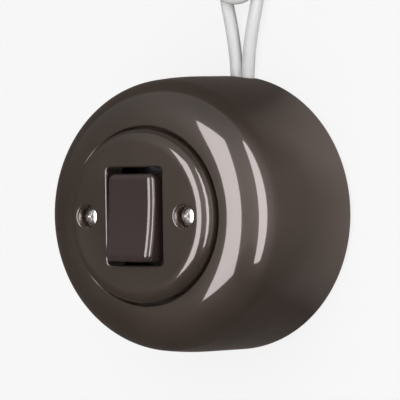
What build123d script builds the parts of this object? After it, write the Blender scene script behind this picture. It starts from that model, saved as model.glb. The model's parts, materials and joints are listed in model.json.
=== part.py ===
from build123d import *
import math
import os

# A round surface-mounted rocker switch in brown glazed porcelain, with the two braided cores that feed it.
# Lengths are millimetres and angles degrees. The wall is the plane Y = 0 and the room lies towards -Y.
# A depth is a distance from the wall. +Z is up, and +X is to the right as seen from the room.
# The origin is the centre of the back face. The rocker is modelled with its top pressed in.

# Housing: a thick porcelain cup that is open to the wall
body_radius = 50.1
rim_round = 1.6
side_draft = 0.7
side_depth = 24.0
shoulder_set = 2.1
shoulder_depth = 42.2
lip_depth = 56.8
lip_round = 0.9
wall_thickness = 5.9
inner_side_depth = 28.0
ledge_radius = 26.5
ledge_thickness = 5.5
ledge_root_radius = 36.8
notch_width = 22.0
notch_depth = 7.5
notch_corner = 2.8

# Cover disc: sits on the housing's ledge, proud of its lip
disc_radius = 30.4
disc_gap = 0.7
disc_thickness = 9.0
face_depth = 62.5
disc_edge = 5.0
disc_back_round = 0.6
pocket_radius = 24.0
pocket_depth = 3.5
collar_wall = 3.0
boss_radius = 5.6
opening_width = 23.5
opening_height = 34.0
opening_corner = 1.5
lip_soft = 0.8

# Cover screws, in wells of the disc
cover_screw_spacing = 41.5
well_radius = 3.9
well_floor = 4.9
cover_shank_radius = 1.7
cover_hole_radius = 2.1
cover_head_radius = 3.0
cover_head_height = 1.3
cover_head_crown = 0.7
cover_screw_length = 16.5
recess_length = 2.6
recess_width = 0.7
recess_depth = 0.9
washer_radius = 3.5
washer_thickness = 0.5

# Rocker: swings 5.5 degrees to each side of square
rocker_tilt = 5.5
rocker_drop = 0.7
pivot_depth = 60.4
cap_height = 5.5
cap_width = 20.0
cap_length = 30.5
cap_barrel = 0.35
cap_dish_radius = 120.0
cap_corner = 2.6
cap_edge = 2.4
cap_wall = 1.8
cap_top_wall = 2.2
cap_skirt = 3.2
cap_rib_place = 11.0
cap_rib_thickness = 1.6
cap_hook = 0.6

# Cradle under the cap, with the plunger's pocket
arm_thickness = 2.0
arm_front = 1.0
arm_width = 14.8
arm_play = 0.25
hub_width = 10.4
hub_length = 7.2
hub_front = 1.9
hub_back = 3.9
hub_slot = 0.8
tube_radius = 3.4
tube_length = 9.0
pocket_bore = 2.3
pocket_roof = 1.5
pin_radius = 1.0
pin_play = 0.05
hook_play = 0.1

# Pivot frame on the yoke's front
frame_width = 27.0
frame_height = 31.0
frame_thickness = 3.0
frame_corner = 3.0
ear_gap = 0.5
ear_thickness = 2.0
ear_width = 7.0
ear_foot = 1.0
window_width = 9.6
window_height = 18.0
window_corner = 1.5

# Plunger and spring
plunger_play = 0.1
plunger_length = 7.5
plunger_bore = 1.65
plunger_floor = 1.5
nose_radius = 1.2
spring_wire = 0.22
spring_radius = 1.25
spring_turns = 7

# Contact arm, a see-saw on the common contact's saddle
arm_tilt = 8.0
saddle_depth = 37.5
contact_arm_thickness = 1.0
contact_arm_width = 5.0
contact_arm_length = 19.6
contact_arm_waist = 2.7
contact_arm_waist_length = 1.8
nose_gap = 0.15
tip_place = 8.5
tip_radius = 1.3
tip_height = 0.8
tip_gap = 0.2
strip_thickness = 0.8
strip_width = 5.0
saddle_gap = 0.2
prong_width = 0.7
prong_play = 0.25
prong_reach = 1.7

# Contact block behind the yoke, and its back plate
block_clearance = 0.15
block_corner = 3.0
block_back = 14.5
cavity_width = 8.0
cavity_height = 21.0
floor_front = 26.5
floor_back = 24.3
rear_width = 19.6
rear_low = 11.0
rib_width = 3.8
rib_low = 4.0
stop_length = 4.0
stop_gap = 0.3
cover_thickness = 2.0
access_radius = 3.0

# Terminals
terminal_offset = 5.6
cage_width = 7.2
cage_height = 8.8
cage_back = 15.5
wire_bore = 1.5
wire_bore_depth = 19.5
clamp_shank_radius = 1.45
clamp_head_radius = 2.5
clamp_head_height = 1.8
clamp_play = 0.05

# Yoke, its screws and the threaded bushes for the cover screws
yoke_back = 44.0
yoke_thickness = 1.5
yoke_radius = 36.0
yoke_height = 38.0
yoke_corner = 3.0
pillar_spacing = 60.0
yoke_screw_radius = 1.5
yoke_slot_play = 0.25
yoke_slot_length = 8.0
yoke_head_radius = 2.9
yoke_head_height = 1.9
yoke_screw_length = 9.0
bush_radius = 2.9
bush_flange_radius = 3.6
bush_length = 4.0
thread_play = 0.05
frame_screw_place = 13.2
frame_screw_radius = 1.2
frame_screw_play = 0.1
frame_head_radius = 2.2
frame_head_height = 1.5
nut_radius = 2.6
nut_height = 2.0
driver_slot_width = 0.7
driver_slot_depth = 0.8

# Base plate on the wall
base_play = 0.5
base_thickness = 7.0
base_edge = 1.0
pillar_radius = 5.0
insert_radius = 2.6
insert_length = 12.0
wall_hole_spacing = 50.0
wall_hole_radius = 2.2
wall_hole_sink_radius = 4.4
cable_entry_radius = 9.0
cable_entry_drop = 15.0
cable_slot_width = 22.0
cable_slot_low = 30.0
cable_slot_corner = 2.5

# Braided cores: from the terminals through the notch and up the wall
core_radius = 2.4
core_depth = 2.9
core_pair_centre = 6.0
core_pair_gap = 0.06
core_end_gap = 1.2
conductor_radius = 0.9
conductor_length = 9.0
lower_bend = 8.4
upper_bend_height = 38.4
fork_height = 58.0
inner_bend_radius = 13.0
fork_bend_radius = 40.0

# Wall insulator that the cores are looped round
knob_height = 87.5
knob_shift = 1.5
knob_foot_radius = 9.0
knob_foot_thickness = 1.4
waist_radius = 5.8
waist_gap = 0.1
loop_rise = 1.8
loop_flat = 0.5
loop_gap = 0.06
knob_radius = 12.0
knob_thickness = 3.0
knob_crown = 2.2
knob_round = 1.2
knob_hole_radius = 2.2
knob_screw_radius = 1.8
knob_sink_radius = 4.0
knob_sink_depth = 2.2
knob_screw_clear = 0.4

# Sizes that follow from those above
side_radius = body_radius - side_draft
shoulder_radius = body_radius - shoulder_set
inner_radius = body_radius - wall_thickness
recess_radius = disc_radius + disc_gap
seat_depth = face_depth - disc_thickness
ledge_back = seat_depth - ledge_thickness
well_depth = face_depth - well_floor
cap_face = pivot_depth + cap_height
cap_back = pivot_depth - cap_skirt
arm_top = pivot_depth + arm_front
arm_bottom = arm_top - arm_thickness
tube_end = pivot_depth - hub_back - tube_length
ear_inside = hub_width / 2 + ear_gap
ear_outside = ear_inside + ear_thickness
ear_top = pivot_depth + hub_front
yoke_front = yoke_back + yoke_thickness
frame_front = yoke_front + frame_thickness
block_size = cover_screw_spacing - 2 * (bush_flange_radius + block_clearance)
block_half = block_size / 2
arm_surface = saddle_depth + contact_arm_thickness
nose_end = arm_surface + nose_gap
plunger_shoulder = tube_end - 3.0
cover_back = block_back - cover_thickness
cage_front = floor_back - strip_thickness
base_radius = inner_radius - base_play
core_offset = core_radius + core_pair_gap / 2
wrap_radius = waist_radius + waist_gap + core_radius
wrap_depth = core_depth + loop_rise
waist_depth = wrap_depth + core_radius + waist_gap
knob_x = core_pair_centre + knob_shift
core_end_height = block_half - rocker_drop + core_end_gap

pivot_axis = Axis((0, -pivot_depth, -rocker_drop), (1, 0, 0))
saddle_axis = Axis((0, -saddle_depth, -rocker_drop), (1, 0, 0))


def facing(depth, x=0.0, z=0.0):
    """A drawing plane parallel to the wall, as seen from the room, with its normal towards the room."""
    return Plane(origin=(x, -depth, z), x_dir=(1, 0, 0), z_dir=(0, -1, 0))


def turning(x=0.0, z=0.0):
    """A drawing plane for turned pieces, where x is the radius, y the depth and the normal points down."""
    return Plane(origin=(x, 0, z), x_dir=(1, 0, 0), z_dir=(0, 0, -1))


def side_on(x=0.0, z=0.0):
    """A drawing plane across the switch, where x is the depth and y the height."""
    return Plane(origin=(x, 0, z), x_dir=(0, -1, 0), z_dir=(-1, 0, 0))


def turn_axis(x=0.0, z=0.0):
    """The axis that a turned piece goes round, square to the wall."""
    return Axis((x, 0, z), (0, -1, 0))


def keep(builder, name):
    """Labels a finished piece and writes it to its own file."""
    shape = builder.part if isinstance(builder, BuildPart) else builder
    shape.label = name
    export_step(shape, f"parts/{name}.step")


os.makedirs("parts", exist_ok=True)

# Housing
with BuildPart() as housing:
    with BuildSketch(turning()):
        with BuildLine():
            outside = Line((body_radius, 0), (side_radius, side_depth))
            shoulder = TangentArc(outside @ 1, (shoulder_radius, shoulder_depth), tangent=outside % 1)
            knuckle = TangentArc(shoulder @ 1, (recess_radius, lip_depth), tangent=shoulder % 1)
            Polyline(
                knuckle @ 1,
                (recess_radius, seat_depth),
                (ledge_radius, seat_depth),
                (ledge_radius, ledge_back),
                (ledge_root_radius, ledge_back),
            )
            inside = Line((inner_radius, 0), (inner_radius, inner_side_depth))
            TangentArc(inside @ 1, (ledge_root_radius, ledge_back), tangent=inside % 1)
            Line(inside @ 0, outside @ 0)
        make_face()
        fillet(vertices().sort_by_distance((body_radius, 0))[0], rim_round)
        fillet(vertices().sort_by_distance((recess_radius, lip_depth))[0], lip_round)
    revolve(axis=turn_axis())
    with BuildSketch(turning(z=body_radius + 1)):
        RectangleRounded(notch_width, 2 * notch_depth, notch_corner)
    extrude(amount=body_radius - inner_radius + 4, mode=Mode.SUBTRACT)
keep(housing, "housing")

# Cover disc
with BuildPart() as cover_disc:
    with BuildSketch(turning()):
        with Locations((disc_radius / 2, (seat_depth + face_depth) / 2)):
            Rectangle(disc_radius, disc_thickness)
        fillet(vertices().sort_by_distance((disc_radius, face_depth))[0], disc_edge)
        fillet(vertices().sort_by_distance((disc_radius, seat_depth))[0], disc_back_round)
    revolve(axis=turn_axis())
    with BuildSketch(facing(seat_depth)):
        Circle(pocket_radius)
        Rectangle(opening_width + 2 * collar_wall, opening_height + 2 * collar_wall, mode=Mode.SUBTRACT)
        with GridLocations(cover_screw_spacing, 0, 2, 1):
            Circle(boss_radius, mode=Mode.SUBTRACT)
    extrude(amount=pocket_depth, mode=Mode.SUBTRACT)
    with BuildSketch(facing(face_depth)):
        RectangleRounded(opening_width, opening_height, opening_corner)
    extrude(amount=-disc_thickness, mode=Mode.SUBTRACT)
    with Locations(facing(face_depth)):
        with GridLocations(cover_screw_spacing, 0, 2, 1):
            CounterBoreHole(cover_hole_radius, well_radius, well_floor)
    front_edges = edges().filter_by_position(Axis.Y, -face_depth - 0.01, -face_depth + 0.01)
    fillet(front_edges.filter_by(lambda e: e.bounding_box().size.X < opening_width + 1), lip_soft)
keep(cover_disc, "cover_disc")

# Washers and screws that hold the disc
with BuildPart() as screw_washers:
    with BuildSketch(facing(well_depth)):
        with GridLocations(cover_screw_spacing, 0, 2, 1):
            Circle(washer_radius)
            Circle(cover_hole_radius, mode=Mode.SUBTRACT)
    extrude(amount=washer_thickness)
keep(screw_washers, "screw_washers")

cover_head_seat = well_depth + washer_thickness
cover_head_rim = cover_head_seat + cover_head_height
with BuildPart() as cover_screws:
    with BuildSketch(turning(x=cover_screw_spacing / 2)):
        with BuildLine():
            crown = TangentArc(
                (0, cover_head_rim + cover_head_crown),
                (cover_head_radius, cover_head_rim),
                tangent=(1, 0),
            )
            Polyline(
                crown @ 1,
                (cover_head_radius, cover_head_seat),
                (cover_shank_radius, cover_head_seat),
                (cover_shank_radius, cover_head_seat - cover_screw_length),
                (0, cover_head_seat - cover_screw_length),
                crown @ 0,
            )
        make_face()
    revolve(axis=turn_axis(x=cover_screw_spacing / 2))
    with BuildSketch(facing(cover_head_rim + cover_head_crown, x=cover_screw_spacing / 2)):
        Rectangle(recess_length, recess_width)
        Rectangle(recess_width, recess_length)
    extrude(amount=-recess_depth, mode=Mode.SUBTRACT)
    mirror(about=Plane.YZ)
keep(cover_screws, "cover_screws")

# Rocker cap, drawn square to the wall and then tilted with its cradle
with BuildPart() as rocker_cap:
    with BuildSketch(facing(cap_back, z=-rocker_drop)):
        with BuildLine():
            right = ThreePointArc(
                (cap_width / 2 - cap_barrel, -cap_length / 2),
                (cap_width / 2, 0),
                (cap_width / 2 - cap_barrel, cap_length / 2),
            )
            left = ThreePointArc(
                (cap_barrel - cap_width / 2, cap_length / 2),
                (-cap_width / 2, 0),
                (cap_barrel - cap_width / 2, -cap_length / 2),
            )
            Line(right @ 1, left @ 0)
            Line(left @ 1, right @ 0)
        make_face()
        fillet(vertices(), cap_corner)
    extrude(amount=cap_face - cap_back + 3)
    with BuildSketch(side_on(z=-rocker_drop)):
        with Locations((cap_face + cap_dish_radius, 0)):
            Circle(cap_dish_radius)
    extrude(amount=cap_width, both=True, mode=Mode.SUBTRACT)
    fillet(edges().filter_by_position(Axis.Y, -cap_face - 3, -cap_face + 0.5), cap_edge)
    with BuildSketch(facing(cap_back, z=-rocker_drop)):
        Rectangle(cap_width - 2 * cap_wall, cap_length - 2 * cap_wall)
    extrude(amount=cap_face - cap_top_wall - cap_back, mode=Mode.SUBTRACT)
    with BuildSketch(facing(arm_top, z=-rocker_drop)):
        with GridLocations(0, 2 * cap_rib_place, 1, 2):
            Rectangle(cap_width - 2 * cap_wall, cap_rib_thickness)
    extrude(amount=cap_face - cap_top_wall - arm_top)
    with BuildSketch(facing(cap_back, z=-rocker_drop)):
        with GridLocations(0, cap_length - 2 * cap_wall - cap_hook, 1, 2):
            Rectangle(hub_width / 2, cap_hook)
    extrude(amount=arm_bottom - hook_play - cap_back)
keep(rocker_cap.part.rotate(pivot_axis, -rocker_tilt), "rocker_cap")

# Cradle: hub on the pin, two arms that carry the cap, and the pocket tube
arm_reach = cap_length / 2 - cap_wall - arm_play
with BuildPart() as rocker_cradle:
    with BuildSketch(facing(pivot_depth - hub_back, z=-rocker_drop)):
        Rectangle(hub_width, hub_length)
    extrude(amount=hub_back + hub_front)
    with BuildSketch(facing(arm_bottom, z=-rocker_drop)):
        Rectangle(hub_width, 2 * arm_reach)
        with GridLocations(0, arm_reach + hub_length / 2 + hub_slot, 1, 2):
            Rectangle(arm_width, arm_reach - hub_length / 2 - hub_slot)
    extrude(amount=arm_thickness)
    with BuildSketch(facing(tube_end, z=-rocker_drop)):
        Circle(tube_radius)
    extrude(amount=tube_length)
    with BuildSketch(facing(tube_end, z=-rocker_drop)):
        Circle(pocket_bore)
    extrude(amount=pivot_depth - pocket_roof - tube_end, mode=Mode.SUBTRACT)
    with BuildSketch(Plane.YZ):
        with Locations((-pivot_depth, -rocker_drop)):
            Circle(pin_radius + pin_play)
    extrude(amount=hub_width, both=True, mode=Mode.SUBTRACT)
keep(rocker_cradle.part.rotate(pivot_axis, -rocker_tilt), "rocker_cradle")

# Pivot pin
with BuildPart() as pivot_pin:
    with BuildSketch(Plane.YZ):
        with Locations((-pivot_depth, -rocker_drop)):
            Circle(pin_radius)
    extrude(amount=ear_outside, both=True)
keep(pivot_pin, "pivot_pin")

# Pivot frame: a plate on the yoke with two ears for the pin
with BuildPart() as pivot_frame:
    with BuildSketch(facing(yoke_front, z=-rocker_drop)):
        RectangleRounded(frame_width, frame_height, frame_corner)
    extrude(amount=frame_thickness)
    with BuildSketch(side_on(x=ear_outside)):
        with Locations((pivot_depth, -rocker_drop)):
            Circle(hub_front)
        with Locations((frame_front, -rocker_drop)):
            Rectangle(ear_foot, ear_width, align=(Align.MIN, Align.CENTER))
        make_hull()
    extrude(amount=ear_thickness)
    mirror(about=Plane.YZ)
    with BuildSketch(facing(yoke_front, z=-rocker_drop)):
        RectangleRounded(window_width, window_height, window_corner)
        with GridLocations(0, 2 * frame_screw_place, 1, 2):
            Circle(frame_screw_radius + frame_screw_play)
    extrude(amount=frame_thickness, mode=Mode.SUBTRACT)
    with BuildSketch(Plane.YZ):
        with Locations((-pivot_depth, -rocker_drop)):
            Circle(pin_radius)
    extrude(amount=ear_outside, both=True, mode=Mode.SUBTRACT)
keep(pivot_frame, "pivot_frame")

# Plunger, with its nose towards the contact arm
with BuildPart() as plunger:
    with BuildSketch(turning(z=-rocker_drop)):
        with BuildLine():
            nose = JernArc((0, nose_end), (1, 0), nose_radius, 90)
            body_side = pocket_bore - plunger_play
            Polyline(
                nose @ 1,
                (nose_radius, plunger_shoulder),
                (body_side, plunger_shoulder + 1),
                (body_side, plunger_shoulder + plunger_length),
                (plunger_bore, plunger_shoulder + plunger_length),
                (plunger_bore, plunger_shoulder + plunger_floor),
                (0, plunger_shoulder + plunger_floor),
                nose @ 0,
            )
        make_face()
    revolve(axis=turn_axis(z=-rocker_drop))
keep(plunger.part.rotate(pivot_axis, -rocker_tilt), "plunger")

# Spring between the plunger and the roof of the pocket
spring_start = plunger_shoulder + plunger_floor + spring_wire
spring_height = pivot_depth - pocket_roof - spring_wire - spring_start
with BuildPart() as plunger_spring:
    with BuildLine() as coil:
        Helix(
            spring_height / spring_turns,
            spring_height,
            spring_radius,
            center=(0, -spring_start, -rocker_drop),
            direction=(0, -1, 0),
        )
    with BuildSketch(Plane(origin=coil.line @ 0, z_dir=coil.line % 0)):
        Circle(spring_wire)
    sweep(path=coil.line, is_frenet=True)
keep(plunger_spring.part.rotate(pivot_axis, -rocker_tilt), "plunger_spring")

# Contact arm with its silver tip, drawn level and then tilted
with BuildPart() as contact_arm:
    with BuildSketch(facing(saddle_depth, z=-rocker_drop)):
        RectangleRounded(contact_arm_width, contact_arm_length, 1.0)
        with GridLocations(contact_arm_width + contact_arm_waist, 0, 2, 1):
            Rectangle(contact_arm_width, contact_arm_waist_length, mode=Mode.SUBTRACT)
    extrude(amount=contact_arm_thickness)
    with BuildSketch(Plane.YZ):
        with Locations((-saddle_depth, -rocker_drop)):
            Circle(strip_thickness / 2 + saddle_gap)
    extrude(amount=contact_arm_width, both=True, mode=Mode.SUBTRACT)
keep(contact_arm.part.rotate(saddle_axis, arm_tilt), "contact_arm")

with BuildPart() as moving_tip:
    with BuildSketch(facing(saddle_depth, z=-rocker_drop - tip_place)):
        Circle(tip_radius)
    extrude(amount=-tip_height)
keep(moving_tip.part.rotate(saddle_axis, arm_tilt), "moving_tip")

# Fixed contact: a stamped strip from the lower tip to the right terminal
tip_drop = tip_place * math.sin(math.radians(arm_tilt)) + tip_height * math.cos(math.radians(arm_tilt))
tip_tilt_drop = tip_radius * math.sin(math.radians(arm_tilt))
fixed_tip_front = saddle_depth - tip_drop - tip_tilt_drop - tip_gap
fixed_tip_back = fixed_tip_front - tip_height
leg_low = cavity_height / 2 - 0.1
strip_side = terminal_offset - strip_width / 2
with BuildPart() as fixed_contact:
    with BuildSketch(facing(cage_front, z=-rocker_drop)):
        with Locations((terminal_offset, 0)):
            Rectangle(strip_width, 2 * (block_half - 2))
        with Locations((terminal_offset + strip_width / 2, -leg_low)):
            Rectangle(terminal_offset + strip_width, leg_low / 2, align=(Align.MAX, Align.MIN))
        with Locations((0, -leg_low)):
            Rectangle(4 * block_half, block_half, align=(Align.CENTER, Align.MAX), mode=Mode.SUBTRACT)
    extrude(amount=strip_thickness)
    with BuildSketch(side_on(z=-rocker_drop)):
        with BuildLine():
            Polyline(
                (floor_back, -leg_low),
                (fixed_tip_back, -leg_low),
                (fixed_tip_back, -leg_low + strip_width),
                (fixed_tip_back - strip_thickness, -leg_low + strip_width),
                (fixed_tip_back - strip_thickness, -leg_low + strip_thickness),
                (floor_back, -leg_low + strip_thickness),
                close=True,
            )
        make_face()
    extrude(amount=strip_width / 2, both=True)
keep(fixed_contact, "fixed_contact")

with BuildPart() as fixed_tip:
    with BuildSketch(facing(fixed_tip_back, z=-rocker_drop - tip_place)):
        Circle(tip_radius)
    extrude(amount=tip_height)
keep(fixed_tip, "fixed_tip")

# Common contact: a strip to the left terminal, with the saddle that the contact arm rocks on
with BuildPart() as common_contact:
    with BuildSketch(facing(cage_front, z=-rocker_drop)):
        with Locations((-terminal_offset, 0)):
            Rectangle(strip_width, block_half - 2, align=(Align.CENTER, Align.MIN))
        with Locations((-strip_side - strip_width, 0)):
            Rectangle(strip_side + 1.5 * strip_width, strip_width, align=(Align.MIN, Align.CENTER))
    extrude(amount=strip_thickness)
    with BuildSketch(turning(z=-rocker_drop + strip_thickness / 2)):
        with Locations((0, floor_back)):
            Rectangle(strip_width, saddle_depth - floor_back, align=(Align.CENTER, Align.MIN))
        with GridLocations(contact_arm_waist + 2 * prong_play + prong_width, 0, 2, 1):
            with Locations((0, saddle_depth)):
                Rectangle(prong_width, prong_reach, align=(Align.CENTER, Align.MIN))
    extrude(amount=strip_thickness)
    with BuildSketch(Plane.YZ):
        with Locations((-saddle_depth, -rocker_drop)):
            Circle(strip_thickness / 2)
    extrude(amount=strip_width / 2, both=True)
keep(common_contact, "common_contact")

# Terminal cages, their screws and the stripped ends of the cores
cage_middle = block_half - 0.5 - cage_height / 2
cage_screw_height = cage_middle - rocker_drop
with BuildPart() as terminal_cages:
    with BuildSketch(facing(cage_back, z=-rocker_drop + cage_middle)):
        with GridLocations(2 * terminal_offset, 0, 2, 1):
            RectangleRounded(cage_width, cage_height, 0.6)
    extrude(amount=cage_front - cage_back)
    with BuildSketch(turning(z=block_half)):
        with GridLocations(2 * terminal_offset, 0, 2, 1):
            with Locations((0, wire_bore_depth)):
                Circle(wire_bore)
    extrude(amount=block_size, mode=Mode.SUBTRACT)
    with BuildSketch(facing(cage_back, z=cage_screw_height)):
        with GridLocations(2 * terminal_offset, 0, 2, 1):
            Circle(clamp_shank_radius + clamp_play)
    extrude(amount=wire_bore_depth - cage_back, mode=Mode.SUBTRACT)
keep(terminal_cages, "terminal_cages")

clamp_tip = wire_bore_depth + wire_bore - 2 * conductor_radius - clamp_play
clamp_seat = cage_back - 1.0
with BuildPart() as terminal_screws:
    with BuildSketch(turning(x=terminal_offset, z=cage_screw_height)):
        with Locations((0, clamp_seat)):
            Rectangle(clamp_shank_radius, clamp_tip - clamp_seat, align=(Align.MIN, Align.MIN))
            Rectangle(clamp_head_radius, clamp_head_height, align=(Align.MIN, Align.MAX))
    revolve(axis=turn_axis(x=terminal_offset, z=cage_screw_height))
    with BuildSketch(facing(clamp_seat - clamp_head_height, x=terminal_offset, z=cage_screw_height)):
        Rectangle(2 * clamp_head_radius, driver_slot_width)
    extrude(amount=driver_slot_depth, mode=Mode.SUBTRACT)
    mirror(about=Plane.YZ)
keep(terminal_screws, "terminal_screws")

conductor_depth = wire_bore_depth + wire_bore - conductor_radius
with BuildPart() as copper_ends:
    with BuildSketch(turning(z=core_end_height)):
        with GridLocations(2 * terminal_offset, 0, 2, 1):
            with Locations((0, conductor_depth)):
                Circle(conductor_radius)
    extrude(amount=conductor_length)
keep(copper_ends, "copper_ends")

# Contact block: a front cavity for the arm, a rear one for strips and terminals, and a floor between
stop_front = saddle_depth - tip_place * math.sin(math.radians(arm_tilt)) - stop_gap
with BuildPart() as contact_block:
    with BuildSketch(facing(block_back, z=-rocker_drop)):
        RectangleRounded(block_size, block_size, block_corner)
        with GridLocations(0, 2 * frame_screw_place, 1, 2):
            Circle(frame_screw_radius + frame_screw_play, mode=Mode.SUBTRACT)
    extrude(amount=yoke_back - block_back)
    with BuildSketch(facing(yoke_back, z=-rocker_drop)):
        Rectangle(cavity_width, cavity_height)
    extrude(amount=floor_front - yoke_back, mode=Mode.SUBTRACT)
    with BuildSketch(facing(floor_front, z=-rocker_drop)):
        with Locations((0, cavity_height / 2)):
            Rectangle(cavity_width, stop_length, align=(Align.CENTER, Align.MAX))
    extrude(amount=stop_front - floor_front)
    with BuildSketch(facing(block_back, z=-rocker_drop)):
        with Locations((0, -rear_low)):
            Rectangle(rear_width, block_half + rear_low + 1, align=(Align.CENTER, Align.MIN))
        with Locations((0, rib_low)):
            Rectangle(rib_width, block_half, align=(Align.CENTER, Align.MIN), mode=Mode.SUBTRACT)
    extrude(amount=floor_back - block_back, mode=Mode.SUBTRACT)
    with BuildSketch(facing(floor_back, z=-rocker_drop)):
        with Locations((0, strip_thickness / 2 - leg_low)):
            Rectangle(strip_width, strip_thickness)
        Rectangle(strip_width, strip_thickness)
    extrude(amount=floor_front - floor_back, mode=Mode.SUBTRACT)
keep(contact_block, "contact_block")

with BuildPart() as block_cover:
    with BuildSketch(facing(cover_back, z=-rocker_drop)):
        RectangleRounded(block_size, block_size, block_corner)
        with GridLocations(0, 2 * frame_screw_place, 1, 2):
            Circle(frame_screw_radius + frame_screw_play, mode=Mode.SUBTRACT)
        with Locations((0, cage_middle)):
            with GridLocations(2 * terminal_offset, 0, 2, 1):
                Circle(access_radius, mode=Mode.SUBTRACT)
    extrude(amount=cover_thickness)
keep(block_cover, "block_cover")

# Two long screws clamp frame, yoke, block and back plate, with nuts behind
with BuildPart() as frame_screws:
    with BuildSketch(facing(cover_back - nut_height, z=-rocker_drop)):
        with GridLocations(0, 2 * frame_screw_place, 1, 2):
            Circle(frame_screw_radius)
    extrude(amount=frame_front + nut_height - cover_back)
    with BuildSketch(facing(frame_front, z=-rocker_drop)):
        with GridLocations(0, 2 * frame_screw_place, 1, 2):
            Circle(frame_head_radius)
    extrude(amount=frame_head_height)
    with BuildSketch(facing(frame_front + frame_head_height, z=-rocker_drop)):
        with GridLocations(0, 2 * frame_screw_place, 1, 2):
            Rectangle(2 * frame_head_radius, driver_slot_width)
    extrude(amount=-driver_slot_depth, mode=Mode.SUBTRACT)
keep(frame_screws, "frame_screws")

with BuildPart() as frame_nuts:
    with BuildSketch(facing(cover_back - nut_height, z=-rocker_drop)):
        with GridLocations(0, 2 * frame_screw_place, 1, 2):
            RegularPolygon(nut_radius, 6)
            Circle(frame_screw_radius, mode=Mode.SUBTRACT)
    extrude(amount=nut_height)
keep(frame_nuts, "frame_nuts")

# Yoke
with BuildPart() as yoke:
    with BuildSketch(facing(yoke_back)):
        Circle(yoke_radius)
        Rectangle(3 * yoke_radius, yoke_height, mode=Mode.INTERSECT)
        fillet(vertices(), yoke_corner)
        with GridLocations(pillar_spacing, 0, 2, 1):
            SlotOverall(yoke_slot_length, 2 * (yoke_screw_radius + yoke_slot_play), rotation=90, mode=Mode.SUBTRACT)
        with GridLocations(cover_screw_spacing, 0, 2, 1):
            Circle(bush_radius, mode=Mode.SUBTRACT)
        with Locations((0, -rocker_drop)):
            RectangleRounded(window_width, window_height, window_corner, mode=Mode.SUBTRACT)
            with GridLocations(0, 2 * frame_screw_place, 1, 2):
                Circle(frame_screw_radius + frame_screw_play, mode=Mode.SUBTRACT)
    extrude(amount=yoke_thickness)
keep(yoke, "yoke")

with BuildPart() as yoke_bushes:
    with BuildSketch(turning(x=cover_screw_spacing / 2)):
        bush_bore = cover_shank_radius + thread_play
        with Locations((bush_bore, yoke_back)):
            Rectangle(bush_radius - bush_bore, yoke_thickness, align=(Align.MIN, Align.MIN))
            Rectangle(bush_flange_radius - bush_bore, bush_length, align=(Align.MIN, Align.MAX))
    revolve(axis=turn_axis(x=cover_screw_spacing / 2))
    mirror(about=Plane.YZ)
keep(yoke_bushes, "yoke_bushes")

with BuildPart() as yoke_screws:
    with BuildSketch(turning(x=pillar_spacing / 2)):
        with Locations((0, yoke_front)):
            Rectangle(yoke_screw_radius, yoke_screw_length, align=(Align.MIN, Align.MAX))
            Rectangle(yoke_head_radius, yoke_head_height, align=(Align.MIN, Align.MIN))
    revolve(axis=turn_axis(x=pillar_spacing / 2))
    with BuildSketch(facing(yoke_front + yoke_head_height, x=pillar_spacing / 2)):
        Rectangle(2 * yoke_head_radius, driver_slot_width)
    extrude(amount=-driver_slot_depth, mode=Mode.SUBTRACT)
    mirror(about=Plane.YZ)
keep(yoke_screws, "yoke_screws")

# Base plate, with the pillars that carry the yoke
with BuildPart() as base_plate:
    with BuildSketch(turning()):
        with Locations((0, 0)):
            Rectangle(base_radius, base_thickness, align=(Align.MIN, Align.MIN))
        chamfer(vertices().sort_by_distance((base_radius, base_thickness))[0], base_edge)
    revolve(axis=turn_axis())
    with BuildSketch(facing(base_thickness)):
        with GridLocations(pillar_spacing, 0, 2, 1):
            Circle(pillar_radius)
    extrude(amount=yoke_back - base_thickness)
    with BuildSketch(facing(yoke_back)):
        with GridLocations(pillar_spacing, 0, 2, 1):
            Circle(insert_radius)
    extrude(amount=-insert_length, mode=Mode.SUBTRACT)
    with BuildSketch(facing(0)):
        with Locations((0, cable_slot_low + base_radius / 2)):
            RectangleRounded(cable_slot_width, base_radius, cable_slot_corner)
        with Locations((0, -cable_entry_drop)):
            Circle(cable_entry_radius)
    extrude(amount=base_thickness, mode=Mode.SUBTRACT)
    with Locations(facing(base_thickness)):
        with GridLocations(wall_hole_spacing, wall_hole_spacing, 2, 2):
            CounterSinkHole(wall_hole_radius, wall_hole_sink_radius)
keep(base_plate, "base_plate")

with BuildPart() as pillar_inserts:
    with BuildSketch(facing(yoke_back)):
        with GridLocations(pillar_spacing, 0, 2, 1):
            Circle(insert_radius)
            Circle(yoke_screw_radius + thread_play, mode=Mode.SUBTRACT)
    extrude(amount=-insert_length)
keep(pillar_inserts, "pillar_inserts")


def core_route(side):
    """The points that one core follows, from its terminal to the top of the insulator; side is 1 at the right."""
    run_x = core_pair_centre + side * core_offset
    loop_x = knob_x + side * loop_flat
    spread = side * (loop_x - run_x)
    rise = knob_height - fork_height
    lean = math.degrees(math.atan2(spread, rise) + math.asin(wrap_radius / math.hypot(spread, rise)))
    half_turn = (90 + lean) / 4
    corner_radius = wrap_radius / math.cos(math.radians(half_turn))
    corners = []
    for turn in (half_turn - lean, 90 - half_turn):
        across = side * corner_radius * math.cos(math.radians(turn))
        up = corner_radius * math.sin(math.radians(turn))
        corners.append((loop_x + across, -wrap_depth, knob_height + up))
    return [
        (side * terminal_offset, -conductor_depth, core_end_height),
        (side * terminal_offset, -conductor_depth, core_end_height + lower_bend),
        (run_x, -core_depth, upper_bend_height),
        (run_x, -core_depth, fork_height),
        *corners,
        (knob_x + side * loop_gap / 2, -wrap_depth, knob_height + wrap_radius),
    ]


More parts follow.
